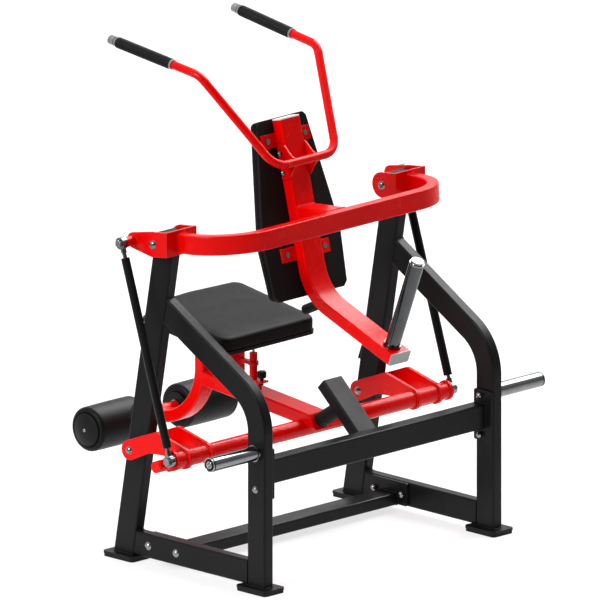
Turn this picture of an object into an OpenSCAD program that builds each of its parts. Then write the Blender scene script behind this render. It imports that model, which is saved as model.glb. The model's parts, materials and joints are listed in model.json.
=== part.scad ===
// Plate-loaded abdominal crunch machine.
// Millimetres. +Z is up, the user faces -Y and +X is the user's left.
// The origin is on the floor, in the middle of the machine's footprint box.

/* [Side frames] */
// Middle plane of each side frame, from the middle of the machine
side_x = 520; // [510:1:535]
// Width of the frame tubes across the machine
tube_w = 40; // [38:1:42]
// Depth of the frame tubes in side view
tube_d = 80; // [76:1:84]
// Wall of the rectangular tubes
wall = 3; // [2:0.5:4]
// Corner radius of the rectangular tubes
tube_r = 6; // [5:0.5:8]
// Length of a foot plate
foot_l = 138; // [120:1:145]
// Width of a foot plate
foot_w = 96; // [80:1:100]
// Thickness of a rubber foot
foot_t = 10; // [6:1:12]

/* [Crunch yoke] */
// Height of the yoke tube
yoke_h = 64; // [60:1:66]
// Thickness of the yoke tube
yoke_t = 40; // [36:1:44]
// Centre-line bend radius of the yoke tube
yoke_bend = 177; // [165:1:185]
// Width of the back post across the machine
post_w = 88; // [84:1:92]
// Depth of the back post
post_d = 42; // [40:1:44]
// Radius of the yoke pivot pins
yoke_pin_r = 12.5; // [10:0.5:14]

/* [Handle and grips] */
// Radius of the handle tube
handle_r = 14; // [12.5:0.5:15]
// Radius of the rubber grips
grip_r = 18.5; // [17.5:0.5:20]
// Length of a rubber grip
grip_l = 238; // [200:1:250]

/* [Back pad] */
// Half width of the back pad at its top
pad_top = 110; // [100:1:118]
// Half width of the back pad at its widest
pad_mid = 175; // [165:1:190]
// Half width of the back pad at its bottom
pad_low = 161; // [140:1:164]
// Thickness of the back pad's cushion
pad_t = 33; // [25:1:40]

/* [Seat] */
// Width of the seat
seat_w = 441; // [400:1:450]
// Length of the seat
seat_l = 389; // [370:1:400]
// Thickness of the seat's cushion
seat_t = 50; // [45:1:55]

/* [Foot rollers] */
// Radius of a foot roller
roller_r = 74; // [62:0.5:76]
// Length of a roller's cushion
roller_l = 214; // [195:1:222]
// Radius of the roller axle
axle_r = 12.5; // [10:0.5:14]

/* [Weight horns] */
// Radius of the weight horns
horn_r = 24.5; // [24:0.1:25]
// Length of the load horn
load_l = 320; // [280:1:350]
// Length of a storage horn
store_l = 212; // [180:1:230]

/* [Hidden] */
$fn = 64;
run = 0.05;                      // radial running clearance
foot_h = foot_t + 8;             // floor to the underside of the tubes
black = [0.17, 0.17, 0.175];
red = [0.80, 0.03, 0.03];
steel = [0.78, 0.79, 0.80];
dark = [0.06, 0.06, 0.065];

// side frame, in side view (y, z)
lean = 0.17414;                              // rearward lean of the front posts per unit of height
function post_y(z) = -304.4 + lean*z;
leg_y = 303;
leg_R = 160;                                 // centre-line bend of the rear legs
leg_z = 525;                                 // the bend starts at this height
leg_turn = 60;
strut_l = 440;
fp_d = tube_d + 6;                           // depth of the front posts
yoke_p = [-118.5, 1086];                     // yoke pivot
lever_p = [post_y(376.5), 376.5];            // lever pivot
rail_z = 20;
beam_y = 292; beam_z = 392; beam_d = 50; beam_h = 83;
leg_bolt = [299, 340];
floor_y = -125; floor_z = 40;
in_x = side_x - tube_w/2;                    // inner face of the side frames
out_x = side_x + tube_w/2;                   // outer face of the side frames
end_t = 8;                                   // beam end plates

// crunch yoke
yoke_z = 1091.8;
yoke_up = 5;                                 // the yoke rises to the rear
yoke_back = -54.6;                           // rear face of the brackets
run_y = 208.3;                               // middle of the yoke's rear run
cheek_in = side_x - 68;                      // inner cheek, inner face
cheek_out = side_x + 68;                     // outer cheek, outer face
cheek_t = 8;
cheek_r = 42;
hub_r = 37;
rod_a = [-208, 1084];                        // upper rod pivot
rod_x = side_x + 118;                        // plane of the tie rods
boss_x = rod_x - 13;

// back post and load arm: unit vectors in (y, z)
post_tilt = 14.04;                           // the back post leans forward
arm_tilt = 20.87;                            // the load arm slopes down
pu = [sin(post_tilt), -cos(post_tilt)];      // down the post
au = [cos(arm_tilt), -sin(arm_tilt)];        // down the load arm
an = [sin(arm_tilt), cos(arm_tilt)];         // up from the load arm
pf = [-121.1, 1394.4];                       // the post's front face at its top
post_top = pf + post_d/2*[cos(post_tilt), sin(post_tilt)];
post_k = post_top + 574*pu;                // corner of the centre line
arm_end = post_k + 402*au;
arm_R = 170;

// handle path
h_y = -9; h_z = 1278.5; h_x = 137;
h1 = [h_x, h_y, h_z];
h2 = [267.5, -226.5, 1568];
h3 = [281, -620, 1617];
hl = [(h_y - pf[0])*cos(post_tilt) + (h_z - pf[1])*sin(post_tilt),
  (h_z - pf[1])*cos(post_tilt) - (h_y - pf[0])*sin(post_tilt)];  // the cross run, seen from the post

// carriage
tube_c = [7, 395];                           // cross tube axis
cross_r = 28;
rod_b = [12, 399];                           // lower rod pivot
plate_t = 12;
plate_a = side_x - 50;                       // middle of the inner lever plates
plate_b = side_x + 50;                       // middle of the outer lever plates
apex = [-115, 431];
peg = [-60, 364.5];
peg_x = side_x + 108;                        // outer end of the band pegs
beam_w = 84; cb_d = 44;                      // carriage beam section
arm_w = 60; arm_d = 40;                      // roller arm section
arm_bend = 192;
function cb_z(y) = 422 + 0.1*(70 - y);       // carriage beam centre line
cb_up = cb_d/2*sqrt(1.01);                   // its upper face, straight up from there
cb_q = [58, 424];                            // middle of its rear end
cb_n = [0.84, 0.5426];                       // outward normal of its rear end
roller_c = [-694, 307.5];
arm_y = -468;                                // upright of the roller arm
roll_x = 205;                                // middle of a roller

// seat
sleeve_y = -344;
strut_y = -248;
knob_y = -210;
seat_c = [-354.5, 717];                     // middle of the seat's top
seat_tilt = -8.3;

// stop post
stop_w = 86; stop_d = 42;
stop_tip = [98.2, 558.9];
stop_u = [0.74, -0.673];
stop_n = [-0.673, -0.74];

// the whole machine is moved so that the origin is under the middle of its box
y_front = roller_c[0] - roller_r;
horn_base = arm_end - 42*au + post_d/2*an;
y_rear = horn_base[0] + (load_l - 2)*an[0] + horn_r*au[0];
y_shift = -(y_front + y_rear)/2;

rod_d = rod_b - rod_a;
rod_l = norm(rod_d);

// ---------------------------------------------------------------- shapes
module rrect(w, h, r) {
  square([w - 2*r, h], center = true);
  square([w, h - 2*r], center = true);
  for (x = [-1, 1], y = [-1, 1]) translate([x*(w/2 - r), y*(h/2 - r)]) circle(r, $fn = 32);
}

// rectangular tube section, its wall thicker by g on both faces
module section(w, h, hollow = true, g = 0) {
  if (hollow) difference() {
    rrect(w + 2*g, h + 2*g, tube_r + g);
    rrect(w - 2*wall - 2*g, h - 2*wall - 2*g, max(tube_r - wall - g, 1));
  } else rrect(w + 2*g, h + 2*g, tube_r + g);
}

// profile drawn in (y, z), extruded from x0 to x1
module along_x(x0, x1) translate([x0, 0, 0]) rotate([90, 0, 90]) linear_extrude(x1 - x0) children();

module xcyl(x0, x1, p, r) translate([x0, p[0], p[1]]) rotate([0, 90, 0]) cylinder(r = r, h = x1 - x0);

// domed head on the x axis, pointing to +x (s = 1) or -x (s = -1)
module xdome(x, p, r, h, s) translate([x, p[0], p[1]]) rotate([0, 90*s, 0]) intersection() {
  translate([0, 0, h - (r*r + h*h)/(2*h)]) sphere((r*r + h*h)/(2*h));
  cylinder(r = r, h = h);
}

// stands its children's z axis along (y, z) direction u at point p
module yz_stand(p, u) translate([0, p[0], p[1]]) rotate([-atan2(u[0], u[1]), 0, 0]) children();

// straight tube in the y-z plane
module yz_bar(p, q, w, d, hollow = true) yz_stand(p, q - p) linear_extrude(norm(q - p)) section(w, d, hollow);

// tube in the y-z plane with one bend at k
module yz_bent(p, k, q, R, w, d, hollow = true) {
  u = (k - p)/norm(k - p);
  v = (q - k)/norm(q - k);
  turn = acos(u*v);
  ccw = u[0]*v[1] - u[1]*v[0] > 0;
  T = R*tan(turn/2);
  l1 = norm(k - p) - T;
  l2 = norm(q - k) - T;
  a = ccw ? k - T*u : k + T*v;               // start of the bend, counter-clockwise
  f = ccw ? u : -v;
  c = a + R*[-f[1], f[0]];
  bent_at(c, atan2(f[1], f[0]) - 90, R, turn, ccw ? l1 : l2, ccw ? l2 : l1, w, d, hollow);
}

// bend about c from angle a0 through turn, with straight runs l1 before it and l2 after it
module bent_at(c, a0, R, turn, l1, l2, w, d, hollow) translate([0, c[0], c[1]]) rotate([a0, 0, 0]) {
  rotate([90, 0, 90]) rotate_extrude(angle = turn, $fn = 96) translate([R, 0]) section(d, w, hollow, 0.05);
  translate([0, R, -l1]) linear_extrude(l1 + 1.5) section(w, d, hollow);
  rotate([turn, 0, 0]) translate([0, R, -1.5]) linear_extrude(l2 + 1.5) section(w, d, hollow);
}

// rounded plate through two circles, drawn in 2D
module link2d(p, rp, q, rq) {
  d = q - p; L = norm(d); u = d/L; n = [-u[1], u[0]];
  c = (rp - rq)/L; s = sqrt(1 - c*c);
  m1 = c*u + s*n; m2 = c*u - s*n;
  translate(p) circle(rp);
  translate(q) circle(rq);
  polygon([p + rp*m1, q + rq*m1, q + rq*m2, p + rp*m2]);
}

module hex(x0, x1, p, r) translate([x0, p[0], p[1]]) rotate([0, 90, 0]) cylinder(r = r, h = x1 - x0, $fn = 6);

module both() for (s = [0, 1]) mirror([s, 0, 0]) children();

module place() translate([0, y_shift, 0]) children();

// ---------------------------------------------------------------- fixed frame
module post_bar(hollow) translate([side_x, 0, 0]) intersection() {
  yz_bar([post_y(-30), -30], [post_y(1130), 1130], tube_w, fp_d, hollow);
  translate([-100, -1000, foot_h]) cube([200, 2000, yoke_p[1] - foot_h]);
}

module front_posts() color(black) place() both() difference() {
  union() {
    post_bar(true);
    translate([side_x, 0, 0]) yz_stand([post_y(461), 461], [lean, 1]) along_x(-14, 14)
      polygon([[-fp_d/2 + 1.5, 0], [-fp_d/2 - 13.5, 0], [-fp_d/2 - 5, 48], [-fp_d/2 + 1.5, 58]]);
  }
  xcyl(0, 800, yoke_p, hub_r);
  xcyl(0, 800, lever_p, 26);
}

// everything in front of the posts' rear faces
module fore_cut() translate([side_x, 0, 0]) yz_stand([post_y(0), 0], [lean, 1])
  translate([-60, -400, -100]) cube([120, 400 + fp_d/2, 1400]);

module rear_legs() color(black) place() both() difference() {
  translate([side_x, 0, 0]) bent_at([leg_y - leg_R, leg_z], 0, leg_R, leg_turn, leg_z - foot_h, strut_l, tube_w, tube_d, true);
  fore_cut();
  for (z = [-65, 65]) xcyl(in_x - 5, side_x, [beam_y, beam_z + z], 6);
  xcyl(side_x, out_x + 5, leg_bolt, 6);
}

module floor_rails() color(black) place() both() difference() {
  translate([side_x, -300, rail_z + 40]) rotate([-90, 0, 0]) linear_extrude(leg_y - tube_d/2 + 300) section(tube_w, 80);
  fore_cut();
  for (y = [-63, 63]) xcyl(in_x - 5, out_x + 5, [floor_y + y, rail_z + 40], 6);
}

module foot_at() for (y = [leg_y, post_y(foot_h)]) translate([side_x, y, 0]) children();

module foot_plates() color(black) place() both() foot_at()
  translate([0, 0, foot_t]) linear_extrude(8) rrect(foot_w, foot_l, 15);

module rubber_feet() color(dark) place() both() foot_at()
  linear_extrude(foot_t) rrect(foot_w - 4, foot_l - 4, 13);

module rear_crossbeam() color(black) place() difference() {
  union() {
    along_x(-in_x + end_t, in_x - end_t) translate([beam_y, beam_z]) section(beam_d, beam_h);
    both() along_x(in_x - end_t, in_x) translate([beam_y + 9, beam_z]) rrect(78, 168, 6);
  }
  both() for (z = [-65, 65]) xcyl(in_x - 20, in_x + 5, [beam_y, beam_z + z], 6);
}

module floor_crossbeam() color(black) place() difference() {
  union() {
    along_x(-in_x + end_t, in_x - end_t) translate([floor_y, floor_z]) section(80, 40);
    both() along_x(in_x - end_t, in_x) translate([floor_y, rail_z + 40]) rrect(165, 76, 6);
  }
  both() for (y = [-63, 63]) xcyl(in_x - 20, in_x + 5, [floor_y + y, rail_z + 40], 6);
}

module frame_bolts() color(steel) place() both() {
  for (y = [-63, 63]) {
    p = [floor_y + y, rail_z + 40];
    xcyl(in_x - end_t, out_x, p, 6);
    xcyl(in_x - end_t - 9, in_x - end_t, p, 10);
    xdome(in_x - end_t - 9, p, 10, 6, -1);
    xdome(out_x, p, 14, 8, 1);
  }
  for (z = [-65, 65]) {
    p = [beam_y, beam_z + z];
    xcyl(in_x - end_t, in_x + 14, p, 6);
    xcyl(in_x - end_t - 9, in_x - end_t, p, 10);
    xdome(in_x - end_t - 9, p, 10, 6, -1);
    hex(in_x + wall, in_x + 12, p, 10);
  }
  xcyl(out_x - 8, out_x, leg_bolt, 6);
  xdome(out_x, leg_bolt, 12.5, 7, 1);
}

module stop_bar(hollow) yz_bar(stop_tip, stop_tip + 250*stop_u, stop_w, stop_d, hollow);

module stop_post() color(black) place() difference() {
  union() {
    stop_bar(true);
    yz_stand(stop_tip, stop_u) linear_extrude(4) section(stop_w, stop_d, false);
  }
  along_x(-100, 100) translate([beam_y, beam_z]) section(beam_d, beam_h, false);
}

// distance from the carriage beam's rear end to the stop post, along the bumper
stop_s = (stop_d/2 - (cb_q - stop_tip)*stop_n)/(cb_n*stop_n);
module stop_bumper() color(dark) place() difference() {
  yz_stand(cb_q + 0.5*cb_n, cb_n) cylinder(r = 25, h = stop_s + 28);
  stop_bar(false);
}

store_p = [leg_y, 464];
module storage_horns() color(steel) place() both() difference() {
  union() {
    xcyl(out_x, out_x + store_l - 7, store_p, horn_r);
    xcyl(out_x, out_x + 12, store_p, 28);
  }
  xcyl(out_x, out_x + store_l, store_p, horn_r - 4);
}

module storage_horn_caps() color(dark) place() both() {
  xcyl(out_x + store_l - 20, out_x + store_l - 7, store_p, horn_r - 4);
  xcyl(out_x + store_l - 7, out_x + store_l - 2, store_p, horn_r);
  xcyl(out_x + store_l - 2, out_x + store_l, store_p, 15);
}

module yoke_bearings() color(black) place() both() difference() {
  intersection() {
    xcyl(cheek_in + 10, cheek_out - 10, yoke_p, hub_r);
    translate([side_x - 100, yoke_p[0] - 100, yoke_p[1] - 100]) cube([200, 200, 131]);
  }
  xcyl(0, 800, yoke_p, yoke_pin_r + run);
}

module lever_bearings() color(black) place() both() difference() {
  xcyl(plate_a + plate_t/2 + 2, plate_b - plate_t/2 - 2, lever_p, 26);
  xcyl(0, 800, lever_p, 12 + run);
}

// ---------------------------------------------------------------- crunch yoke
// frame of the yoke: y along its arms to the rear, z up
module in_yoke() translate([0, yoke_back, yoke_z]) rotate([yoke_up, 0, 0]) children();

module yoke_tube() color(red) place() difference() {
  in_yoke() {
    along_x(yoke_bend - side_x - 1.5, side_x - yoke_bend + 1.5) translate([run_y, 0]) section(yoke_t, yoke_h);
    both() {
      translate([side_x - yoke_bend, run_y - yoke_bend, 0]) rotate_extrude(angle = 90, $fn = 96)
        translate([yoke_bend, 0]) section(yoke_t, yoke_h, true, 0.05);
      translate([side_x, run_y - yoke_bend + 1.5, 0]) rotate([90, 0, 0])
        linear_extrude(run_y - yoke_bend + 11.5) section(yoke_t, yoke_h);
    }
  }
  translate([-800, yoke_back - 100, 900]) cube([1600, 100, 400]);
}

module cheek2d() {
  translate(yoke_p) circle(cheek_r);
  polygon([[yoke_p[0], yoke_p[1] + cheek_r], [yoke_back, 1136], [yoke_back, 1053], [yoke_p[0], yoke_p[1] - cheek_r]]);
}

module yoke_bracket() difference() {
  union() {
    along_x(cheek_in, cheek_in + cheek_t) cheek2d();
    along_x(cheek_out - cheek_t, cheek_out) { cheek2d(); link2d(yoke_p, cheek_r, rod_a, 26); }
    translate([cheek_in, yoke_back - 8, 1053]) cube([cheek_out - cheek_in, 8, 83]);
    xcyl(cheek_out - 2, boss_x, rod_a, 17);
  }
  xcyl(cheek_in - 10, cheek_out + 10, yoke_p, yoke_pin_r);
  xcyl(boss_x - 30, boss_x + 10, rod_a, 8);
}

module yoke_bracket_left() color(red) place() yoke_bracket();
module yoke_bracket_right() color(red) place() mirror([1, 0, 0]) yoke_bracket();

module yoke_pivot_pins() color(steel) place() both() {
  xcyl(cheek_in, cheek_out, yoke_p, yoke_pin_r);
  xdome(cheek_out, yoke_p, 15, 9, 1);
  xdome(cheek_in, yoke_p, 15, 9, -1);
}

module centre_bar(hollow) yz_bent(post_top, post_k, arm_end, arm_R, post_w, post_d, hollow);

module centre_post() color(red) place() difference() {
  centre_bar(true);
  in_post() for (z = [-108, -171]) xcyl(-60, 60, [20, z], 6);
}

module yoke_bridge() color(red) place() difference() {
  in_yoke() rotate([-90, 0, 0]) linear_extrude(run_y - yoke_t/2) section(80, yoke_h);
  in_post() translate([-100, -300, -900]) cube([200, 300 + post_d, 1000]);
}

module tube_end_caps() color([0.35, 0.35, 0.36]) place() {
  yz_stand(post_top, -pu) linear_extrude(4) section(post_w, post_d, false);
  yz_stand(arm_end, au) linear_extrude(4) section(post_w, post_d, false);
}

// frame on the post's front face: y towards the rear, z up the post
module in_post() translate([0, pf[0], pf[1]]) rotate([post_tilt, 0, 0]) children();

// slab in that frame from y0 to y1, drawn in (x, z)
module post_slab(y0, y1) in_post() translate([0, y1, 0]) rotate([90, 0, 0]) linear_extrude(y1 - y0) children();

module back_pad_brackets() color(red) place() both() for (z = [-62, -433])
  difference() {
    post_slab(0, 6) translate([post_w/2, z - 23]) square([64, 46]);
    post_slab(-10, 20) translate([84, z]) circle(4);
  }

module pad2d(e) polygon([
  [pad_top - 12 - e, 6 - e], [pad_top - e, -7], [pad_mid - 2 - e, -368], [pad_mid - 2 - e, -406],
  [pad_low + 2 - e, -560], [pad_low - 14 - e, -577 + e],
  [-pad_low + 14 + e, -577 + e], [-pad_low - 2 + e, -560], [-pad_mid + 2 + e, -406], [-pad_mid + 2 + e, -368],
  [-pad_top + e, -7], [-pad_top + 12 + e, 6 - e]]);

module back_pad_board() color(dark) place() difference() {
  post_slab(-12, 0) pad2d(0.5);
  post_slab(-10, 5) for (x = [-84, 84], z = [-62, -433]) translate([x, z]) circle(4);
}

module back_pad() color(dark) place() post_slab(-12 - pad_t, -12) pad2d(0);

module back_pad_screws() color(steel) place() for (x = [-84, 84], z = [-62, -433]) {
  post_slab(-10, 6) translate([x, z]) circle(4);
  post_slab(6, 10) translate([x, z]) circle(9);
}

// round bar from a to b in space
module rod3(a, b, r) {
  d = b - a;
  translate(a) rotate([0, acos(d[2]/norm(d)), atan2(d[1], d[0])]) cylinder(r = r, h = norm(d));
}

// round tube from a to b in space
module tube3(a, b, r, t) {
  d = b - a;
  translate(a) rotate([0, acos(d[2]/norm(d)), atan2(d[1], d[0])]) linear_extrude(norm(d)) difference() { circle(r); circle(r - t); }
}

// tube elbow of radius R at k between the directions u (in) and v (out), with a thin weld ring at each end
module elbow3(k, u, v, R, r, t) {
  turn = acos(u*v);
  T = R*tan(turn/2);
  n = cross(u, v)/norm(cross(u, v));
  m = cross(n, u);                           // towards the bend's centre
  c = k - T*u + R*m;
  multmatrix([[-m[0], u[0], n[0], c[0]], [-m[1], u[1], n[1], c[1]], [-m[2], u[2], n[2], c[2]], [0, 0, 0, 1]])
    rotate_extrude(angle = turn, $fn = 64) translate([R, 0]) difference() { circle(r, $fn = 48); circle(r - t, $fn = 48); }
  tube3(k - (T + 4)*u, k - (T - 4)*u, r + 0.4, t - 0.8);
  tube3(k + (T - 4)*v, k + (T + 4)*v, r + 0.4, t - 0.8);
}

hu0 = [1, 0, 0];
hu1 = (h2 - h1)/norm(h2 - h1);
hu2 = (h3 - h2)/norm(h3 - h2);
hR1 = 75; hR2 = 62;
hT1 = hR1*tan(acos(hu0*hu1)/2);
hT2 = hR2*tan(acos(hu1*hu2)/2);
grip_s = 123;                                // grip starts this far along the upper run
function on_grip(s) = h2 + s*hu2;

module handle_bar() color(red) place() {
  g = 0.5;                                   // weld gap inside each ring
  tube3([-h_x + hT1 + g, h_y, h_z], [h_x - hT1 - g, h_y, h_z], handle_r, wall);
  both() {
    elbow3(h1, hu0, hu1, hR1, handle_r, wall);
    tube3(h1 + (hT1 + g)*hu1, h2 - (hT2 + g)*hu1, handle_r, wall);
    elbow3(h2, hu1, hu2, hR2, handle_r, wall);
    tube3(h2 + (hT2 + g)*hu2, on_grip(grip_s + grip_l - 5), handle_r, wall);
  }
}

module handle_plates() color(red) place() both() in_post() difference() {
  along_x(post_w/2, post_w/2 + 6) {
    polygon([[9, -82], [42, -82], hl + [-12, 21], hl + [2, 12], hl + [2, -12], hl + [-14, -25], [42, -192], [9, -192]]);
  }
  for (z = [-108, -171]) xcyl(0, 60, [20, z], 6);
  rotate([-post_tilt, 0, 0]) translate([0, -pf[0], -pf[1]]) xcyl(0, 100, [h_y, h_z], handle_r);
}

module handle_bolts() color(steel) place() in_post() for (z = [-108, -171]) {
  xcyl(-post_w/2 - 6, post_w/2 + 6, [20, z], 6);
  xcyl(post_w/2 + 6, post_w/2 + 14, [20, z], 9);
  xcyl(-post_w/2 - 14, -post_w/2 - 6, [20, z], 9);
  xdome(post_w/2 + 14, [20, z], 9, 5, 1);
  xdome(-post_w/2 - 14, [20, z], 9, 5, -1);
}

module grips() color(dark) place() both() difference() {
  rod3(on_grip(grip_s), on_grip(grip_s + grip_l), grip_r);
  rod3(on_grip(grip_s - 10), on_grip(grip_s + grip_l + 10), handle_r + 0.03);
}

module grip_end_caps() color(steel) place() both() {
  difference() {
    rod3(on_grip(grip_s - 8), on_grip(grip_s), handle_r + 3);
    rod3(on_grip(grip_s - 20), on_grip(grip_s + 10), handle_r);
  }
  rod3(on_grip(grip_s + grip_l - 5), on_grip(grip_s + grip_l + 34), handle_r);
  rod3(on_grip(grip_s + grip_l), on_grip(grip_s + grip_l + 8), handle_r + 1);
  rod3(on_grip(grip_s + grip_l + 10), on_grip(grip_s + grip_l + 32), handle_r + 2);
}

module load_horn() color(steel) place() yz_stand(horn_base, an) difference() {
  union() {
    cylinder(r = horn_r, h = load_l - 8);
    cylinder(r = 29, h = 10);
  }
  translate([0, 0, -1]) cylinder(r = horn_r - 4, h = load_l);
}

module load_horn_cap() color(steel) place() yz_stand(horn_base, an) {
  translate([0, 0, load_l - 24]) cylinder(r = horn_r - 4, h = 16);
  translate([0, 0, load_l - 8]) cylinder(r = horn_r, h = 6);
  translate([0, 0, load_l - 2]) cylinder(r = horn_r - 3.6, h = 8.5);
}

// rubber stop on the outside of the load arm's bend
bump_p = [67.9, 817];
bump_u = [-0.9, -0.436];
module arm_bumper() color(dark) place() difference() {
  yz_stand(bump_p - 14*bump_u, bump_u) cylinder(r = 16.5, h = 103);
  centre_bar(false);
}

// stud, washer and nut that hold a rod end; w is where the stud starts
module rod_stud(p, w) {
  xcyl(w, rod_x + 14, p, 8);
  xcyl(boss_x, boss_x + 2.5, p, 15);
  hex(rod_x + 10.5, rod_x + 19, p, 13);
}

module upper_rod_studs() color(steel) place() both() rod_stud(rod_a, boss_x - 30);

// ---------------------------------------------------------------- seat carriage
module lever2d() {
  link2d(lever_p, 33, apex, 28);
  link2d(apex, 28, tube_c, 35);
  polygon([lever_p, apex, tube_c]);
}

module lever_plates() color(red) place() both() for (x = [plate_a, plate_b]) difference() {
  along_x(x - plate_t/2, x + plate_t/2) {
    lever2d();
    if (x == plate_b) link2d(tube_c, 30, peg, 26);
  }
  xcyl(0, 800, lever_p, 12);
  xcyl(0, 800, tube_c, cross_r);
}

module lever_pivot_pins() color(steel) place() both() {
  xcyl(plate_a - plate_t/2, plate_b + plate_t/2, lever_p, 12);
  xdome(plate_b + plate_t/2, lever_p, 14, 8, 1);
  xdome(plate_a - plate_t/2, lever_p, 14, 8, -1);
}

flange_x = rod_x - 23;
module cross_tube() color(red) place() {
  difference() {
    xcyl(-flange_x, flange_x, tube_c, cross_r);
    xcyl(-flange_x - 1, flange_x + 1, tube_c, cross_r - 4);
  }
  both() xcyl(flange_x, flange_x + 10, tube_c + [0, 1], 32.5);
}

module lower_rod_studs() color(steel) place() both() rod_stud(rod_b, flange_x + 10);

module cb_bar(hollow) yz_bar([cb_q[0] + 60, cb_z(cb_q[0] + 60)], [arm_y - 30, cb_z(arm_y - 30)], beam_w, cb_d, hollow);

module cb_end(h) yz_stand(cb_q, cb_n) translate([-200, -300, -h]) cube([400, 600, 300 + h]);

module carriage_beam() color(red) place() difference() {
  union() {
    cb_bar(true);
    intersection() { cb_bar(false); cb_end(6); }
  }
  cb_end(0);
  xcyl(-100, 100, tube_c, cross_r);
  translate([-100, -1000, 300]) cube([200, 1000 + arm_y + arm_d/2, 400]);
}

module roller_arm() color(red) place() difference() {
  union() {
    yz_bent([arm_y, 560], [arm_y, roller_c[1]], [roller_c[0] - 26, roller_c[1]], arm_bend, arm_w, arm_d);
    yz_stand([arm_y, 556], [0, 1]) linear_extrude(4) section(arm_w, arm_d, false);
    yz_stand([roller_c[0] - 22, roller_c[1]], [-1, 0]) linear_extrude(4) section(arm_w, arm_d, false);
    xcyl(-roll_x + roller_l/2 + 10.5, roll_x - roller_l/2 - 10.5, roller_c, 21);
  }
  xcyl(-100, 100, roller_c, axle_r);
}

module roller_axle() color(steel) place() {
  xcyl(-roll_x - roller_l/2 + 2, roll_x + roller_l/2 - 2, roller_c, axle_r);
  both() xcyl(roll_x - roller_l/2 - 10, roll_x - roller_l/2 - 6, roller_c, 24);
}

module band_pegs() color(red) place() both() difference() {
  xcyl(plate_b + plate_t/2, peg_x, peg, 19.5);
  xcyl(plate_b + plate_t/2 + 6, peg_x + 4, peg, 16.5);
}

module band_peg_caps() color(red) place() both() {
  xcyl(peg_x, peg_x + 6, peg, 19.5);
  xcyl(peg_x - 10, peg_x, peg, 16.5);
}

// everything below the carriage beam's upper face
module under_beam() along_x(-100, 100)
  polygon([[-600, 300], [100, 300], [100, cb_z(100) + cb_up], [-600, cb_z(-600) + cb_up]]);

module seat_sleeve() color(red) place() difference() {
  union() {
    translate([0, sleeve_y, 470]) linear_extrude(130) difference() {
      rrect(60, 60, 5);
      rrect(54, 54, 2);
    }
    translate([-15, sleeve_y + 30, 499]) cube([30, knob_y + 16 - sleeve_y - 30, 6]);
    translate([-8, sleeve_y + 30, 470]) cube([16, knob_y - 8 - sleeve_y - 30, 29]);
    translate([-9, sleeve_y + 30, 550]) cube([18, strut_y - sleeve_y - 30, 12]);
    translate([0, strut_y, 550]) cylinder(r = 17, h = 12);
  }
  under_beam();
  translate([0, strut_y, 540]) cylinder(r = 13, h = 40);
  translate([0, knob_y, 480]) cylinder(r = 6 + run, h = 40);
}

module seat_strut_cylinder() color(red) place() difference() {
  translate([0, strut_y, 505]) cylinder(r = 13, h = 86);
  translate([0, strut_y, 511]) cylinder(r = 4 + run, h = 100);
}

module seat_lock_knob() color(dark) place() translate([0, knob_y, 0]) {
  translate([0, 0, 514]) cylinder(r = 13.4, h = 2);
  translate([0, 0, 516]) cylinder(r = 15, h = 17);
  translate([0, 0, 533]) cylinder(r = 13, h = 2.5);
  translate([0, 0, 490]) cylinder(r = 6, h = 25);
}

// ---------------------------------------------------------------- seat
module in_seat() translate([0, seat_c[0], seat_c[1]]) rotate([seat_tilt, 0, 0]) children();

module over_seat() in_seat() translate([-400, -400, -seat_t - 18]) cube([800, 800, 200]);

module seat_post() color(red) place() {
  difference() {
    translate([0, sleeve_y, 492]) linear_extrude(200) difference() {
      rrect(53.4, 53.4, 2);
      rrect(47, 47, 1);
    }
    over_seat();
  }
  in_seat() translate([0, 30, -seat_t - 18]) linear_extrude(6) rrect(180, 240, 12);
}

module seat_board() color(dark) place() in_seat() translate([0, 0, -seat_t - 12]) linear_extrude(12) rrect(seat_w - 8, seat_l - 8, 29);

module seat_pad() color(dark) place() in_seat() translate([0, 0, -seat_t]) linear_extrude(seat_t) rrect(seat_w, seat_l, 32);

module seat_strut_rod() color(steel) place() difference() {
  translate([0, strut_y, 516]) cylinder(r = 4, h = 200);
  over_seat();
}

// ---------------------------------------------------------------- foot rollers
module roller_hub() difference() {
  union() {
    xcyl(roll_x - roller_l/2 - 5, roll_x + roller_l/2 + 1, roller_c, 22);
    xcyl(roll_x - roller_l/2 - 5, roll_x - roller_l/2, roller_c, 48);
    xcyl(roll_x + roller_l/2, roll_x + roller_l/2 + 2, roller_c, 54);
    xdome(roll_x + roller_l/2 + 2, roller_c, 54, 9, 1);
  }
  xcyl(0, roll_x + roller_l/2, roller_c, axle_r + run);
}

module roller_pad() difference() {
  xcyl(roll_x - roller_l/2, roll_x + roller_l/2, roller_c, roller_r);
  xcyl(0, 400, roller_c, 22);
}

module roller_hub_left() color(dark) place() roller_hub();
module roller_hub_right() color(dark) place() mirror([1, 0, 0]) roller_hub();
module roller_pad_left() color(dark) place() roller_pad();
module roller_pad_right() color(dark) place() mirror([1, 0, 0]) roller_pad();

// ---------------------------------------------------------------- tie rods
// frame on a tie rod: origin at the upper pivot, z down the rod
module on_rod() translate([rod_x, 0, 0]) yz_stand(rod_a, rod_d) children();

module tie_rod() on_rod() difference() {
  translate([0, 0, 49]) cylinder(r = 14, h = rod_l - 93);
  translate([0, 0, 40]) cylinder(r = 7, h = 55);
  translate([0, 0, 120]) cylinder(r = 10.3, h = rod_l);
}

module rod_eye(p) difference() {
  xcyl(rod_x - 10, rod_x + 10, p, 20);
  xcyl(rod_x - 20, rod_x + 20, p, 8 + run);
}

module rod_end_upper() {
  rod_eye(rod_a);
  on_rod() difference() {
    union() {
      cylinder(r = 7, h = 90);
      cylinder(r = 9.5, h = 32);
    }
    rotate([0, 90, 0]) cylinder(r = 15, h = 60, center = true);
  }
}

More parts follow.
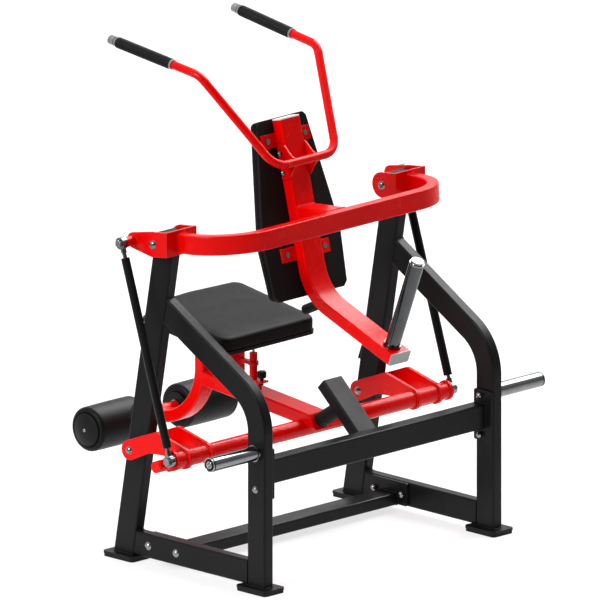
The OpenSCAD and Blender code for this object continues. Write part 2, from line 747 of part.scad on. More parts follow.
module rod_end_lower() {
  rod_eye(rod_b);
  on_rod() difference() {
    union() {
      translate([0, 0, rod_l - 95]) cylinder(r = 6, h = 95);
      translate([0, 0, rod_l - 34]) cylinder(r = 9.5, h = 34);
    }
    translate([0, 0, rod_l]) rotate([0, 90, 0]) cylinder(r = 15, h = 60, center = true);
  }
}

module tie_rod_left() color(dark) place() tie_rod();
module tie_rod_right() color(dark) place() mirror([1, 0, 0]) tie_rod();
module rod_end_upper_left() color(steel) place() rod_end_upper();
module rod_end_upper_right() color(steel) place() mirror([1, 0, 0]) rod_end_upper();
module rod_end_lower_left() color(steel) place() rod_end_lower();
module rod_end_lower_right() color(steel) place() mirror([1, 0, 0]) rod_end_lower();

front_posts();
rear_legs();
floor_rails();
foot_plates();
rubber_feet();
rear_crossbeam();
floor_crossbeam();
frame_bolts();
stop_post();
stop_bumper();
storage_horns();
storage_horn_caps();
yoke_bearings();
lever_bearings();
yoke_tube();
yoke_bracket_left();
yoke_bracket_right();
yoke_pivot_pins();
yoke_bridge();
centre_post();
tube_end_caps();
back_pad_brackets();
back_pad_board();
back_pad();
back_pad_screws();
handle_bar();
handle_plates();
handle_bolts();
grips();
grip_end_caps();
load_horn();
load_horn_cap();
arm_bumper();
upper_rod_studs();
lever_plates();
lever_pivot_pins();
cross_tube();
carriage_beam();
roller_arm();
roller_axle();
lower_rod_studs();
band_pegs();
band_peg_caps();
seat_sleeve();
seat_strut_cylinder();
seat_lock_knob();
seat_post();
seat_board();
seat_pad();
seat_strut_rod();
roller_hub_left();
roller_pad_left();
roller_hub_right();
roller_pad_right();
tie_rod_left();
tie_rod_right();
rod_end_upper_left();
rod_end_upper_right();
rod_end_lower_left();
rod_end_lower_right();
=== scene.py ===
import json
import math

import bmesh
import bpy
import numpy as np
from mathutils import Matrix, Vector


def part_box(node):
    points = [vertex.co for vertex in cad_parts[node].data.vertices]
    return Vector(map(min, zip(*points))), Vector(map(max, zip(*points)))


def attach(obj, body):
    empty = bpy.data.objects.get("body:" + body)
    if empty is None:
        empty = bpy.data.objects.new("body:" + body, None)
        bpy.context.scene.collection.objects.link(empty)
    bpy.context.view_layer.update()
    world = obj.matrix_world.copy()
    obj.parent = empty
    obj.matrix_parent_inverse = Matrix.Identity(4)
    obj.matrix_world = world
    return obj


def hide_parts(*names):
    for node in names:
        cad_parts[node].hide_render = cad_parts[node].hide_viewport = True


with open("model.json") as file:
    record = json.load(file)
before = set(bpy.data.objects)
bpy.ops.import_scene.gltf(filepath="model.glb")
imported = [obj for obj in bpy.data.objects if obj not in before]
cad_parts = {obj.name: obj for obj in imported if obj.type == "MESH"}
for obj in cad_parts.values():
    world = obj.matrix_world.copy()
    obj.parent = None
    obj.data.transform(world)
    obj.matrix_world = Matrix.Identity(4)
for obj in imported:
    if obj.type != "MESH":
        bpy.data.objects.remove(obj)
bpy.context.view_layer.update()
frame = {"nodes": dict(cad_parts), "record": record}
NODE = frame["nodes"]

# the frame's y shift against the side view used below (metres)
_lo, _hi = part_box("roller_pad_left")
YS = (_lo.y + _hi.y) / 2 + 0.694
ROLL_Z = (_lo.z + _hi.z) / 2


def pt(x, y, z):
    """Point given in side-view millimetres, in the row frame in metres."""
    return Vector((x / 1000, y / 1000 + YS, z / 1000))


# ------------------------------------------------------------------ materials
def start(name):
    m = bpy.data.materials.new(name)
    m.use_nodes = True
    nt = m.node_tree
    return m, nt, nt.nodes["Principled BSDF"]


def add(nt, kind, **values):
    n = nt.nodes.new(kind)
    for k, v in values.items():
        setattr(n, k, v)
    return n


def noise(nt, where, scale, detail=3.0, rough=0.55):
    n = add(nt, "ShaderNodeTexNoise")
    n.inputs["Scale"].default_value = scale
    n.inputs["Detail"].default_value = detail
    n.inputs["Roughness"].default_value = rough
    nt.links.new(where, n.inputs["Vector"])
    return n.outputs["Fac"]


def remap(nt, value, a, b, c, d):
    n = add(nt, "ShaderNodeMapRange")
    n.clamp = True
    for i, v in enumerate((a, b, c, d)):
        n.inputs[i + 1].default_value = v
    nt.links.new(value, n.inputs[0])
    return n.outputs[0]


def mix(nt, fac, a, b):
    n = add(nt, "ShaderNodeMix", data_type="RGBA")
    nt.links.new(fac, n.inputs[0])
    for socket, v in ((n.inputs[6], a), (n.inputs[7], b)):
        if isinstance(v, tuple):
            socket.default_value = (*v, 1)
        else:
            nt.links.new(v, socket)
    return n.outputs[2]


def math_node(nt, op, a, b):
    n = add(nt, "ShaderNodeMath", operation=op)
    n.use_clamp = True
    for socket, v in ((n.inputs[0], a), (n.inputs[1], b)):
        if isinstance(v, (int, float)):
            socket.default_value = v
        else:
            nt.links.new(v, socket)
    return n.outputs[0]


def bump(nt, height, strength, distance, normal=None):
    n = add(nt, "ShaderNodeBump")
    n.inputs["Strength"].default_value = strength
    n.inputs["Distance"].default_value = distance
    nt.links.new(height, n.inputs["Height"])
    if normal is not None:
        nt.links.new(normal, n.inputs["Normal"])
    return n.outputs["Normal"]


def stretched(nt, where, scale):
    n = add(nt, "ShaderNodeMapping")
    n.inputs["Scale"].default_value = scale
    nt.links.new(where, n.inputs["Vector"])
    return n.outputs["Vector"]


def coords(nt):
    return add(nt, "ShaderNodeTexCoord").outputs["Object"]


def edges(nt, radius):
    """Rounded normal and a mask that is 1 on sharp edges."""
    b = add(nt, "ShaderNodeBevel", samples=4)
    b.inputs["Radius"].default_value = radius
    g = add(nt, "ShaderNodeNewGeometry")
    d = add(nt, "ShaderNodeVectorMath", operation="DOT_PRODUCT")
    nt.links.new(b.outputs["Normal"], d.inputs[0])
    nt.links.new(g.outputs["Normal"], d.inputs[1])
    return b.outputs["Normal"], remap(nt, d.outputs["Value"], 0.99, 0.8, 0.0, 1.0)


def paint(name, base, shade, worn_and_edge_highlight, rough, spec, coat):
    """Powder coat: slight mottling, orange peel, dust in the gloss, and paler edges that are partly wear and partly a
    painted highlight.
    """
    m, nt, b = start(name)
    at = coords(nt)
    col = mix(nt, remap(nt, noise(nt, at, 7.0, 4), 0.3, 0.7, 0, 1), shade, base)
    fleck = remap(nt, noise(nt, at, 420.0, 2), 0.62, 0.75, 0, 0.35)
    col = mix(nt, fleck, col, shade)
    normal, edge = edges(nt, 0.0016)
    # sharp edges are painted paler in patches: partly edge wear, partly a painted highlight where the edges catch the
    # light
    edge_wear_and_highlight = math_node(nt, "MULTIPLY", edge, remap(nt, noise(nt, at, 35.0, 5, 0.7), 0.36, 0.62, 0, 0.85))
    col = mix(nt, edge_wear_and_highlight, col, worn_and_edge_highlight)
    nt.links.new(col, b.inputs["Base Color"])
    nt.links.new(remap(nt, noise(nt, at, 16.0, 5, 0.65), 0.3, 0.7, rough - 0.05, rough + 0.08), b.inputs["Roughness"])
    nt.links.new(bump(nt, noise(nt, at, 650.0, 2), 0.10, 0.0005, normal), b.inputs["Normal"])
    b.inputs["Specular IOR Level"].default_value = spec
    b.inputs["Coat Weight"].default_value = coat
    b.inputs["Coat Roughness"].default_value = 0.12
    return m


def metal(name, base, dull, rough, streak):
    """Plated or polished steel with fine streaks and faint smears."""
    m, nt, b = start(name)
    at = coords(nt)
    smear = remap(nt, noise(nt, at, 14.0, 5, 0.65), 0.35, 0.7, 0, 1)
    nt.links.new(mix(nt, smear, base, dull), b.inputs["Base Color"])
    fine = noise(nt, stretched(nt, at, streak), 60.0, 3)
    r = add(nt, "ShaderNodeMath", operation="MULTIPLY_ADD")
    nt.links.new(fine, r.inputs[0])
    r.inputs[1].default_value = 0.12
    r.inputs[2].default_value = rough
    nt.links.new(r.outputs[0], b.inputs["Roughness"])
    nt.links.new(bump(nt, fine, 0.05, 0.0003), b.inputs["Normal"])
    b.inputs["Metallic"].default_value = 1.0
    return m


def plastic(name, base, pale, rough, grain):
    """Moulded plastic or rubber with a fine textured skin and scuffs."""
    m, nt, b = start(name)
    at = coords(nt)
    scuff = remap(nt, noise(nt, at, 26.0, 6, 0.7), 0.5, 0.8, 0, 0.7)
    nt.links.new(mix(nt, scuff, base, pale), b.inputs["Base Color"])
    nt.links.new(remap(nt, noise(nt, at, 40.0, 4), 0.3, 0.7, rough - 0.07, rough + 0.07), b.inputs["Roughness"])
    nt.links.new(bump(nt, noise(nt, at, grain, 2), 0.25, 0.0004), b.inputs["Normal"])
    b.inputs["Specular IOR Level"].default_value = 0.15
    return m


def vinyl(name, base, pale, rough, spec):
    """Grained vinyl: pebbled cells with painted shade in their creases, soft wrinkles and a rubbed sheen."""
    m, nt, b = start(name)
    at = coords(nt)
    cells = add(nt, "ShaderNodeTexVoronoi", feature="DISTANCE_TO_EDGE")
    cells.inputs["Scale"].default_value = 520.0
    nt.links.new(at, cells.inputs["Vector"])
    pebble = remap(nt, cells.outputs["Distance"], 0.0, 0.25, 0, 1)
    rubbed = remap(nt, noise(nt, at, 9.0, 5, 0.6), 0.35, 0.8, 0.1, 0.8)
    col = mix(nt, rubbed, base, pale)
    # the creases between the pebbles are painted darker: painted shade in the grain
    nt.links.new(mix(nt, remap(nt, pebble, 0, 0.4, 0.35, 0), col, (0.002, 0.002, 0.002)), b.inputs["Base Color"])
    nt.links.new(remap(nt, noise(nt, at, 22.0, 4), 0.3, 0.7, rough - 0.03, rough + 0.03), b.inputs["Roughness"])
    soft = bump(nt, noise(nt, at, 38.0, 3), 0.06, 0.0014)
    nt.links.new(bump(nt, pebble, 0.30, 0.0004, soft), b.inputs["Normal"])
    b.inputs["Specular IOR Level"].default_value = spec
    return m


# the third colour of each coat is its pale edge colour: partly wear, partly a painted highlight
RED = paint("red_powder_coat", (0.76, 0.0011, 0.0008), (0.68, 0.0008, 0.0006), (0.92, 0.24, 0.21), 0.22, 0.15, 0.0)
BLACK = paint("black_powder_coat", (0.0078, 0.0075, 0.0078), (0.0052, 0.0050, 0.0052), (0.085, 0.085, 0.089), 0.33, 0.13, 0.0)
CHROME = metal("polished_chrome", (0.26, 0.265, 0.27), (0.185, 0.19, 0.195), 0.05, (1.0, 1.0, 9.0))
# darker and brighter copies of the same chrome: painted shade and painted highlight
CHROME_PAINTED_DARK_REFLECTION = metal("chrome_painted_dark_reflection", (0.10, 0.102, 0.105), (0.068, 0.07, 0.072), 0.06, (1.0, 1.0, 9.0))
CHROME_PAINTED_BRIGHT_REFLECTION = metal("chrome_painted_bright_reflection", (0.46, 0.465, 0.47), (0.32, 0.325, 0.33), 0.07, (1.0, 1.0, 9.0))
ZINC = metal("zinc_plate", (0.34, 0.345, 0.355), (0.24, 0.245, 0.255), 0.20, (4.0, 4.0, 4.0))
RUBBER = plastic("black_rubber", (0.0065, 0.0065, 0.0068), (0.015, 0.015, 0.015), 0.58, 900.0)
GRIP = plastic("grip_rubber", (0.0055, 0.0055, 0.0058), (0.0105, 0.0105, 0.0108), 0.56, 1100.0)
MOULDED = plastic("moulded_plastic", (0.0045, 0.0045, 0.0048), (0.0085, 0.0085, 0.0088), 0.40, 700.0)
VINYL = vinyl("seat_vinyl", (0.0028, 0.0027, 0.0027), (0.0044, 0.0042, 0.0042), 0.46, 0.08)
ROLLVINYL = vinyl("roller_vinyl", (0.0032, 0.0031, 0.0032), (0.0050, 0.0048, 0.0050), 0.40, 0.12)
BACKING = vinyl("backing_cloth", (0.0060, 0.0052, 0.0052), (0.0088, 0.0078, 0.0078), 0.60, 0.12)

# moulded end caps: grey lower down, and painted pale on top of the back post as a painted highlight
CAPS, _nt, _b = start("cap_plastic")
_at = coords(_nt)
_sep = add(_nt, "ShaderNodeSeparateXYZ")
_nt.links.new(_at, _sep.inputs[0])
_tone = mix(_nt, noise(_nt, _at, 60.0, 4), (0.28, 0.28, 0.29), (0.34, 0.34, 0.35))
_painted_highlight_tone = mix(_nt, noise(_nt, _at, 60.0, 4), (0.74, 0.72, 0.71), (0.82, 0.81, 0.80))
# caps higher than 1.25 to 1.30 m get the pale tone: a painted highlight
_nt.links.new(mix(_nt, remap(_nt, _sep.outputs[2], 1.25, 1.30, 0, 1), _tone, _painted_highlight_tone), _b.inputs["Base Color"])
_nt.links.new(remap(_nt, noise(_nt, _at, 40.0, 4), 0.3, 0.7, 0.36, 0.48), _b.inputs["Roughness"])
_nt.links.new(bump(_nt, noise(_nt, _at, 700.0, 2), 0.2, 0.0004), _b.inputs["Normal"])

BY_SLOT = {
    "frame_black": BLACK, "red_paint": RED, "chrome": CHROME, "zinc_steel": ZINC, "rubber": RUBBER,
    "plastic_black": MOULDED, "plastic_grey": CAPS, "upholstery": VINYL, "board": BACKING,
}
for sub in frame["record"]["subparts"]:
    o = NODE[sub["node"]]
    if not o.material_slots:
        o.data.materials.append(None)
    for s in o.material_slots:
        s.material = BY_SLOT[sub["material_slot"]]
# the load horn gets a darker copy of the chrome, a painted shade for its dark reflections; the grip ends get a brighter
# copy, a painted highlight
for node, mat in (("load_horn", CHROME_PAINTED_DARK_REFLECTION), ("grip_end_caps", CHROME_PAINTED_BRIGHT_REFLECTION)):
    for s in NODE[node].material_slots:
        s.material = mat


# ------------------------------------------------------------------ mesh tools
def new_object(name, bm, mat, smooth=True):
    me = bpy.data.meshes.new(name)
    bmesh.ops.recalc_face_normals(bm, faces=bm.faces)
    bm.to_mesh(me)
    bm.free()
    me.materials.append(mat)
    me.polygons.foreach_set("use_smooth", [smooth] * len(me.polygons))
    o = bpy.data.objects.new(name, me)
    bpy.context.scene.collection.objects.link(o)
    return o


def rounded(points, radii, steps=10):
    """Closed outline with each corner rounded to its radius."""
    out = []
    n = len(points)
    for i in range(n):
        p = Vector(points[i])
        a = (Vector(points[i - 1]) - p).normalized()
        b = (Vector(points[(i + 1) % n]) - p).normalized()
        half = math.acos(max(-1, min(1, a.dot(b)))) / 2
        r = radii[i]
        t = r / math.tan(half)
        c = p + (a + b).normalized() * (r / math.sin(half))
        p0, p1 = p + a * t - c, p + b * t - c
        full = math.pi - 2 * half
        sign = 1 if p0.x * p1.y - p0.y * p1.x > 0 else -1
        for k in range(steps + 1):
            w = sign * full * k / steps
            out.append(Vector((c.x + p0.x * math.cos(w) - p0.y * math.sin(w), c.y + p0.x * math.sin(w) + p0.y * math.cos(w))))
    return out


def resample(points, n):
    pts = [Vector(p) for p in points] + [Vector(points[0])]
    cum = [0.0]
    for a, b in zip(pts, pts[1:]):
        cum.append(cum[-1] + (b - a).length)
    out, j = [], 0
    for k in range(n):
        s = cum[-1] * k / n
        while cum[j + 1] < s:
            j += 1
        f = (s - cum[j]) / max(cum[j + 1] - cum[j], 1e-12)
        out.append(pts[j].lerp(pts[j + 1], f))
    return out


def slab(outline, z0, z1, r0, r1, crown, n=240):
    """Closed cushion body over an outline: rounded lower and upper edges and a crowned top."""
    base = resample(outline, n)
    cx = sum((p.x for p in base)) / n
    cy = sum((p.y for p in base)) / n
    inward = []
    for i in range(n):
        d = base[(i + 1) % n] - base[i - 1]
        inward.append(Vector((-d.y, d.x)).normalized())
    if sum((base[i].x * base[(i + 1) % n].y - base[(i + 1) % n].x * base[i].y) for i in range(n)) < 0:
        inward = [-v for v in inward]
    rings = []
    for k in range(7):
        w = math.pi / 2 * k / 6
        rings.append((r0 * (1 - math.sin(w)), z0 + r0 * (1 - math.cos(w)), 1.0))
    for k in range(9):
        w = math.pi / 2 * k / 8
        rings.append((r1 * (1 - math.cos(w)), z1 - r1 * (1 - math.sin(w)), 1.0))
    for s in (0.9, 0.78, 0.64, 0.5, 0.36, 0.22, 0.1):
        rings.append((r1, z1 + crown * (1 - ((s - 0.1) / 0.9) ** 2), s))
    bm = bmesh.new()
    grid = []
    for inset, z, s in rings:
        row = []
        for p, v in zip(base, inward):
            q = p + v * inset
            row.append(bm.verts.new((cx + (q.x - cx) * s, cy + (q.y - cy) * s, z)))
        grid.append(row)
    for a, b in zip(grid, grid[1:]):
        for i in range(n):
            bm.faces.new((a[i], a[(i + 1) % n], b[(i + 1) % n], b[i]))
    bm.faces.new(list(reversed(grid[0])))
    bm.faces.new(grid[-1])
    return bm


def inflate(o, voxel, pressure, cap, held):
    """Remeshes the piece evenly, swells it as cloth under pressure with the held points fixed, and keeps the result."""
    m = o.modifiers.new("even", "REMESH")
    m.mode = "VOXEL"
    m.voxel_size = voxel
    m.use_smooth_shade = True
    bpy.context.view_layer.update()
    dg = bpy.context.evaluated_depsgraph_get()
    me = bpy.data.meshes.new_from_object(o.evaluated_get(dg))
    me.materials.clear()
    me.materials.append(o.data.materials[0])
    o.modifiers.clear()
    o.data = me
    rest = np.array([v.co for v in me.vertices], float)
    g = o.vertex_groups.new(name="held")
    g.add([i for i, c in enumerate(rest) if held(c)], 1.0, "REPLACE")
    c = o.modifiers.new("swell", "CLOTH")
    st = c.settings
    st.quality = 6
    st.mass = 0.3
    st.tension_stiffness = 20
    st.compression_stiffness = 20
    st.shear_stiffness = 8
    st.bending_stiffness = 0.8
    st.use_pressure = True
    st.uniform_pressure_force = pressure
    st.effector_weights.gravity = 0
    st.vertex_group_mass = "held"
    c.collision_settings.use_collision = False
    c.collision_settings.use_self_collision = False
    c.point_cache.frame_start, c.point_cache.frame_end = 1, 20
    sc = bpy.context.scene
    for f in range(1, 21):
        sc.frame_set(f)
    dg = bpy.context.evaluated_depsgraph_get()
    out = o.evaluated_get(dg).to_mesh()
    moved = np.array([v.co for v in out.vertices], float) - rest
    o.evaluated_get(dg).to_mesh_clear()
    o.modifiers.clear()
    sc.frame_set(1)
    far = np.linalg.norm(moved, axis=1)
    keep = np.minimum(1.0, cap / np.maximum(far, 1e-9))
    step = moved * keep[:, None]
    pairs = np.array([e.vertices[:] for e in me.edges])
    count = np.maximum(np.bincount(pairs.ravel(), minlength=len(step)), 1)[:, None]
    still = np.array([bool(held(p)) for p in rest])
    # even out the swelling so the skin stays taut
    for _ in range(30):
        near = np.zeros_like(step)
        np.add.at(near, pairs[:, 0], step[pairs[:, 1]])
        np.add.at(near, pairs[:, 1], step[pairs[:, 0]])
        step = 0.4 * step + 0.6 * near / count
        step[still] = 0
    rest = rest + step
    me.vertices.foreach_set("co", rest.astype(np.float32).ravel())
    o.vertex_groups.clear()
    me.polygons.foreach_set("use_smooth", [True] * len(me.polygons))
    me.update()
    s = o.modifiers.new("smooth", "SUBSURF")
    s.levels = s.render_levels = 1
    return o


def lathe(profile, a, b, n, bm=None):
    """Turned surface: profile is (distance along a-b, radius), in metres, closed at both ends."""
    bm = bm or bmesh.new()
    d = (b - a).normalized()
    u = d.orthogonal().normalized()
    v = d.cross(u)
    rows = []
    for s, r in profile:
        rows.append([bm.verts.new(a + d * s + (u * math.cos(t) + v * math.sin(t)) * r) for t in (2 * math.pi * k / n for k in range(n))])
    for p, q in zip(rows, rows[1:]):
        for i in range(n):
            bm.faces.new((p[i], p[(i + 1) % n], q[(i + 1) % n], q[i]))
    bm.faces.new(list(reversed(rows[0])))
    bm.faces.new(rows[-1])
    return bm


def tube_ring(profile, a, b, n, bm):
    """Turned ring with a bore: profile is a closed loop of (distance, radius)."""
    d = (b - a).normalized()
    u = d.orthogonal().normalized()
    v = d.cross(u)
    rows = []
    for s, r in profile:
        rows.append([bm.verts.new(a + d * s + (u * math.cos(t) + v * math.sin(t)) * r) for t in (2 * math.pi * k / n for k in range(n))])
    for k in range(len(rows)):
        p, q = rows[k], rows[(k + 1) % len(rows)]
        for i in range(n):
            bm.faces.new((p[i], p[(i + 1) % n], q[(i + 1) % n], q[i]))
    return bm


# ------------------------------------------------------------------ seat
SEAT_W, SEAT_L, SEAT_T = 0.441, 0.389, 0.050
seat_m = Matrix.Translation(pt(0, -354.5, 717)) @ Matrix.Rotation(math.radians(-8.3), 4, "X")
i = 0.003
w, l = SEAT_W / 2 - i, SEAT_L / 2 - i
seat_bm = slab(rounded([(-w, -l + 0.006), (0, -l - 0.005), (w, -l + 0.006), (w, l), (-w, l)], [0.036, 0.6, 0.036, 0.042, 0.042]),
               -SEAT_T + 0.0005, -0.0045, 0.006, 0.014, 0.003)
seat_bm.transform(seat_m)
seat = new_object("seat_cushion", seat_bm, VINYL)
_inv = seat_m.inverted()
inflate(seat, 0.0055, 3.0, 0.003, lambda c: (_inv @ Vector(c)).z < -SEAT_T + 0.009)
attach(seat, "seat")
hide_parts("seat_pad")

# ------------------------------------------------------------------ back pad
POST_TILT = math.radians(14.04)
# pad frame: x across, y up the post, z towards the user
pad_m = Matrix.Translation(pt(0, -121.1, 1394.4)) @ Matrix.Rotation(POST_TILT, 4, "X") @ Matrix.Rotation(math.radians(90), 4, "X")
i = 0.001
half = [(0.110, 0.006), (0.177, -0.385), (0.1615, -0.577)]
right = [(x - i, y) for x, y in half]
outline = [(-x, y) for x, y in right] + list(reversed(right))
outline = [(x, y - i if y > 0 else (y + i if y < -0.5 else y)) for x, y in outline]
pad_bm = slab(rounded(outline, [0.016, 0.15, 0.024, 0.024, 0.15, 0.016]), 0.0123, 0.0432, 0.003, 0.013, 0.002)
pad_bm.transform(pad_m)
pad = new_object("back_cushion", pad_bm, VINYL)
_pin = pad_m.inverted()
inflate(pad, 0.0055, 3.0, 0.003, lambda c: (_pin @ Vector(c)).z < 0.019)
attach(pad, "yoke")
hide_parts("back_pad")

# ------------------------------------------------------------------ foot rollers
for side, s in (("left", 1), ("right", -1)):
    lo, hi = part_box("roller_pad_" + side)
    y = (lo.y + hi.y) / 2
    z = (lo.z + hi.z) / 2
    r = (hi.z - lo.z) / 2
    length = hi.x - lo.x
    a, b = (Vector((lo.x, y, z)), Vector((hi.x, y, z))) if s > 0 else (Vector((hi.x, y, z)), Vector((lo.x, y, z)))
    prof = []
    rr = 0.013
    # inner end, out to the skin, along it, and round the outer end
    prof += [(0.004, 0.0225), (0.004, 0.040), (0.0028, 0.0465), (0.0008, 0.049), (0.0, 0.052), (0.0, r - rr - 0.001)]
    for k in range(1, 9):
        t = math.pi / 2 * k / 8
        prof.append((rr * (1 - math.cos(t)), r - rr + rr * math.sin(t) - 0.0008))
    for k in range(1, 24):
        f = k / 24
        prof.append((rr + (length - 2 * rr) * f, r - 0.0008 + 0.0008 * math.sin(math.pi * f)))
    for k in range(0, 9):
        t = math.pi / 2 * k / 8
        prof.append((length - rr + rr * math.sin(t), r - rr + rr * math.cos(t) - 0.0008))
    prof += [(length, r - rr - 0.002), (length - 0.0005, 0.0575), (length - 0.003, 0.0555), (length - 0.004, 0.052), (length - 0.004, 0.0225)]
    bm = tube_ring(prof, a, b, 96, bmesh.new())
    roller = new_object("roller_cushion_" + side, bm, ROLLVINYL)
    sub = roller.modifiers.new("smooth", "SUBSURF")
    sub.levels = sub.render_levels = 1
    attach(roller, "roller_" + side)
    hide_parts("roller_pad_" + side)

# ------------------------------------------------------------------ grips
h2, h3 = pt(267.5, -226.5, 1568), pt(281, -620, 1617)
hd = (h3 - h2).normalized()
GR, GL = 0.0185, 0.238
grip_bm = bmesh.new()
for s in (1, -1):
    a, b = h2 + hd * 0.123, h2 + hd * (0.123 + GL)
    if s < 0:
        a, b = Vector((-a.x, a.y, a.z)), Vector((-b.x, b.y, b.z))
    prof = [(0.0003, 0.0141), (0.0003, GR - 0.003), (0.0011, GR - 0.0009), (0.003, GR - 0.0002)]
    x = 0.010
    while x < GL - 0.011:
        prof += [(x, GR - 0.0001), (x + 0.0024, GR), (x + 0.0031, GR - 0.0007), (x + 0.0038, GR - 0.0007), (x + 0.0045, GR)]
        x += 0.0062
    prof += [(GL - 0.003, GR - 0.0002), (GL - 0.0011, GR - 0.0009), (GL - 0.0003, GR - 0.003), (GL - 0.0003, 0.0141)]
    tube_ring(prof, a, b, 48, grip_bm)
grip = new_object("grip_sleeves", grip_bm, GRIP)
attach(grip, "yoke")
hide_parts("grips")

# ------------------------------------------------------------------ small trim
rim_bm = bmesh.new()
for s in (1, -1):
    a, b = pt(750 * s, 303, 464), pt(800 * s, 303, 464)
    # turned rim of the horn end, then the washer and the screw in its plug
    tube_ring([(0.0, 0.0197), (0.0, 0.0244), (0.0012, 0.0243), (0.0022, 0.0234), (0.0026, 0.0220), (0.0022, 0.0206), (0.0012, 0.0199)], a, b, 64, rim_bm)
    tube_ring([(0.0020, 0.0062), (0.0020, 0.0126), (0.0030, 0.0125), (0.0038, 0.0116), (0.0040, 0.0075), (0.0034, 0.0064)], a, b, 48, rim_bm)
    lathe([(0.0020, 0.0046), (0.0036, 0.0046), (0.0046, 0.0036), (0.0050, 0.0014)], a, b, 24, rim_bm)
# the brighter chrome copy: a painted highlight on the horn trim
rim = new_object("storage_horn_trim", rim_bm, CHROME_PAINTED_BRIGHT_REFLECTION)
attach(rim, "frame")

for side, s in (("left", 1), ("right", -1)):
    lo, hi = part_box("roller_hub_" + side)
    x = hi.x if s > 0 else lo.x
    y, z = (lo.y + hi.y) / 2, (lo.z + hi.z) / 2
    a, b = Vector((x - 0.0012 * s, y, z)), Vector((x + 0.02 * s, y, z))
    stud = new_object("roller_stud_" + side, lathe([(0.0, 0.0062), (0.0016, 0.0062), (0.0026, 0.0055), (0.0038, 0.0040), (0.0044, 0.0016)], a, b, 32), ZINC)
    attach(stud, "roller_" + side)


# ------------------------------------------------------------------ weld beads
def bead(bm, points, closed=True, r=0.0024):
    """Rippled weld bead along a line of points."""
    if closed:
        total = sum((points[k] - points[k - 1]).length for k in range(len(points)))
        n = max(12, int(total / 0.0016))
        path = resample(points, n)
    else:
        path = points
        n = len(points)
    rows = []
    for k in range(n):
        p, q = path[k - 1], path[(k + 1) % n]
        t = (q - p).normalized()
        u = t.orthogonal().normalized()
        v = t.cross(u)
        rad = r * (1 + 0.16 * math.sin(k * 2 * math.pi / 4))
        rows.append([bm.verts.new(path[k] + (u * math.cos(w) + v * math.sin(w)) * rad) for w in (2 * math.pi * j / 6 for j in range(6))])
    for k in range(n):
        a, b = rows[k], rows[(k + 1) % n]
        shift = min(range(6), key=lambda j: sum((a[m].co - b[(m + j) % 6].co).length for m in range(6)))
        for m in range(6):
            bm.faces.new((a[m], a[(m + 1) % 6], b[(m + 1 + shift) % 6], b[(m + shift) % 6]))


def ring_x(x, y, z, r, n=48):
    return [pt(x, y + r * math.cos(t), z + r * math.sin(t)) for t in (2 * math.pi * k / n for k in range(n))]


def rect2d(w, h, r=6):
    return rounded([(-w / 2, -h / 2), (w / 2, -h / 2), (w / 2, h / 2), (-w / 2, h / 2)], [r] * 4, 5)


def both(points):
    return [points, [Vector((-p.x, p.y, p.z)) for p in points]]


weld_frame, weld_yoke, weld_carriage = bmesh.new(), bmesh.new(), bmesh.new()
loops = []
for x in (500, 540):
    loops += both(ring_x(x, -238.8, 376.5, 26))
loops += both(ring_x(540, 303, 464, 28))
loops += [[pt(520 * s + p.x, 303 + p.y, 18) for p in rect2d(40, 80)] for s in (1, -1)]
loops += [[pt(520 * s + p.x, -301.3 + p.y, 18) for p in rect2d(40, 87.5)] for s in (1, -1)]
loops += [[pt(520 * s + p.x, 263, 60 + p.y) for p in rect2d(40, 80)] for s in (1, -1)]
loops += both([pt(492, 292 + p.x, 392 + p.y) for p in rect2d(50, 83)])
loops += both([pt(492, -125 + p.x, 40 + p.y) for p in rect2d(80, 40)])
# the struts of the rear legs, where they meet the posts' rear faces
k = math.hypot(1, 0.17414)
nrm = Vector((1 / k, -0.17414 / k))
for s in (1, -1):
    line = []
    for p in rect2d(40, 80):
        o = Vector((223.0 + p.y * 0.5, 663.56 + p.y * 0.86603))
        d = Vector((-0.86603, 0.5))
        f = (43 - nrm.dot(o - Vector((-304.4, 0)))) / nrm.dot(d)
        q = o + d * f
        line.append(pt(520 * s + p.x, q.x, q.y))
    loops.append(line)
    line = []
    for p in rect2d(40, 80):
        z = 60 + p.y
        line.append(pt(520 * s + p.x, -304.4 + 0.17414 * z + 43 * k, z))
    loops.append(line)
for line in loops:
    bead(weld_frame, line)

loops = [[pt(520 * s + p.x, -54.6, 1092 + p.y) for p in rect2d(40, 64.2)] for s in (1, -1)]
c5, s5 = math.cos(math.radians(5)), math.sin(math.radians(5))
ct, sn = math.cos(POST_TILT), math.sin(POST_TILT)
line, line2 = [], []
for p in rect2d(80, 64):
    o = Vector((-54.6 - p.y * s5, 1091.8 + p.y * c5))
    d = Vector((c5, s5))
    n2 = Vector((ct, sn))
    f = (42 - n2.dot(o - Vector((-121.1, 1394.4)))) / n2.dot(d)
    q = o + d * f
    line.append(pt(p.x, q.x, q.y))
    q = o + d * 188.3
    line2.append(pt(p.x, q.x, q.y))
loops += [line, line2]
for line in loops:
    bead(weld_yoke, line)

loops = []
for x in (464, 476, 564, 576):
    loops += both(ring_x(x, 7, 395, 28))
loops += both(ring_x(576, -60, 364.5, 19.5))
for line in loops:
    bead(weld_carriage, line)

for name, bm, mat, body, slot in (
    ("weld_beads_frame", weld_frame, BLACK, "frame", "frame_black"),
    ("weld_beads_yoke", weld_yoke, RED, "yoke", "red_paint"),
    ("weld_beads_carriage", weld_carriage, RED, "carriage", "red_paint"),
):
    o = new_object(name, bm, mat)
    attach(o, body)

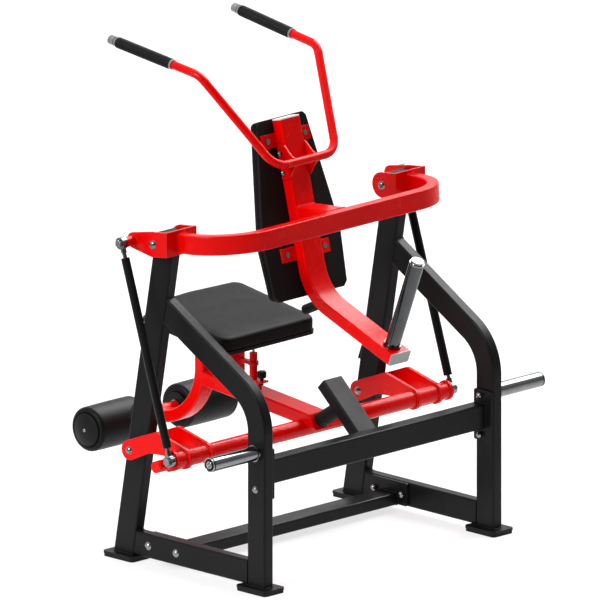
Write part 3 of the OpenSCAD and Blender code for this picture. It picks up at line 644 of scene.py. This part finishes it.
# ------------------------------------------------------------------ stage
KEY, TOP = 2.3, 0.2
FLOOR_GLOW, WORLD_LOW, WORLD_HIGH, SOFTBOX = 0.72, 0.10, 0.95, 9.0
m, nt, b = start("studio_floor")
at = coords(nt)
across = add(nt, "ShaderNodeVectorMath", operation="DOT_PRODUCT")
across.inputs[1].default_value = (-0.70711, 0.70711, 0)
nt.links.new(at, across.inputs[0])
along = add(nt, "ShaderNodeVectorMath", operation="DOT_PRODUCT")
along.inputs[1].default_value = (0.70711, 0.70711, 0)
nt.links.new(at, along.inputs[0])
side = add(nt, "ShaderNodeMath", operation="ABSOLUTE")
nt.links.new(across.outputs["Value"], side.inputs[0])
lit = math_node(nt, "MULTIPLY", remap(nt, side.outputs[0], 1.0, 2.8, 1, 0), remap(nt, along.outputs["Value"], 0.78, 2.6, 1, 0))
paper = mix(nt, noise(nt, at, 0.7, 2), (0.31, 0.31, 0.31), (0.34, 0.34, 0.34))
nt.links.new(paper, b.inputs["Base Color"])
b.inputs["Emission Color"].default_value = (1, 1, 1, 1)
nt.links.new(remap(nt, lit, 0, 1, 0.0, FLOOR_GLOW), b.inputs["Emission Strength"])
b.inputs["Roughness"].default_value = 0.9
b.inputs["Specular IOR Level"].default_value = 0.05
bm = bmesh.new()
bmesh.ops.create_grid(bm, x_segments=8, y_segments=8, size=20)
floor = new_object("studio_floor", bm, m, False)
floor.location = (0, 0, -0.0006)

world = bpy.data.worlds.new("studio")
bpy.context.scene.world = world
world.use_nodes = True
wn = world.node_tree
bg = wn.nodes["Background"]
tc = wn.nodes.new("ShaderNodeTexCoord")
dot = wn.nodes.new("ShaderNodeVectorMath")
dot.operation = "DOT_PRODUCT"
dot.inputs[1].default_value = (-0.35, -0.90, 0.25)
wn.links.new(tc.outputs["Generated"], dot.inputs[0])
rng = wn.nodes.new("ShaderNodeMapRange")
for k, v in enumerate((-0.6, 0.8, WORLD_LOW, WORLD_HIGH)):
    rng.inputs[k + 1].default_value = v
wn.links.new(dot.outputs["Value"], rng.inputs[0])
# a soft overhead box on the far side, seen in the tops of the tubes
box = wn.nodes.new("ShaderNodeVectorMath")
box.operation = "DOT_PRODUCT"
box.inputs[1].default_value = Vector((-0.70, -0.08, 0.71)).normalized()
wn.links.new(tc.outputs["Generated"], box.inputs[0])
spot = wn.nodes.new("ShaderNodeMapRange")
spot.interpolation_type = "SMOOTHSTEP"
for k, v in enumerate((0.885, 0.98, 0.0, SOFTBOX)):
    spot.inputs[k + 1].default_value = v
wn.links.new(box.outputs["Value"], spot.inputs[0])
total = wn.nodes.new("ShaderNodeMath")
wn.links.new(rng.outputs[0], total.inputs[0])
wn.links.new(spot.outputs[0], total.inputs[1])
wn.links.new(total.outputs[0], bg.inputs["Strength"])
bg.inputs["Color"].default_value = (1, 1, 1, 1)


def sun(name, towards, energy, spread):
    d = bpy.data.lights.new(name, "SUN")
    d.energy = energy
    d.angle = math.radians(spread)
    o = bpy.data.objects.new(name, d)
    o.rotation_euler = (-Vector(towards)).to_track_quat("-Z", "Y").to_euler()
    o.location = Vector(towards) * 4
    bpy.context.scene.collection.objects.link(o)


sun("key", (0.86, -0.05, 0.50), KEY, 20)
sun("top", (0.05, 0.10, 0.99), TOP, 60)

cam = bpy.data.cameras.new("camera")
cam.type = "ORTHO"
cam.ortho_scale = 1.929
cam.clip_end = 100
cam_o = bpy.data.objects.new("camera", cam)
bpy.context.scene.collection.objects.link(cam_o)
az, el = math.radians(135), math.radians(15.1)
back = Vector((math.sin(az) * math.cos(el), -math.cos(az) * math.cos(el), math.sin(el)))
cam_o.location = Vector((0, -0.0364 + YS, 0.8056)) + back * 7
cam_o.rotation_euler = (-back).to_track_quat("-Z", "Y").to_euler()
bpy.context.scene.camera = cam_o

vs = bpy.context.scene.view_settings
vs.view_transform = "Standard"
vs.look = "None"
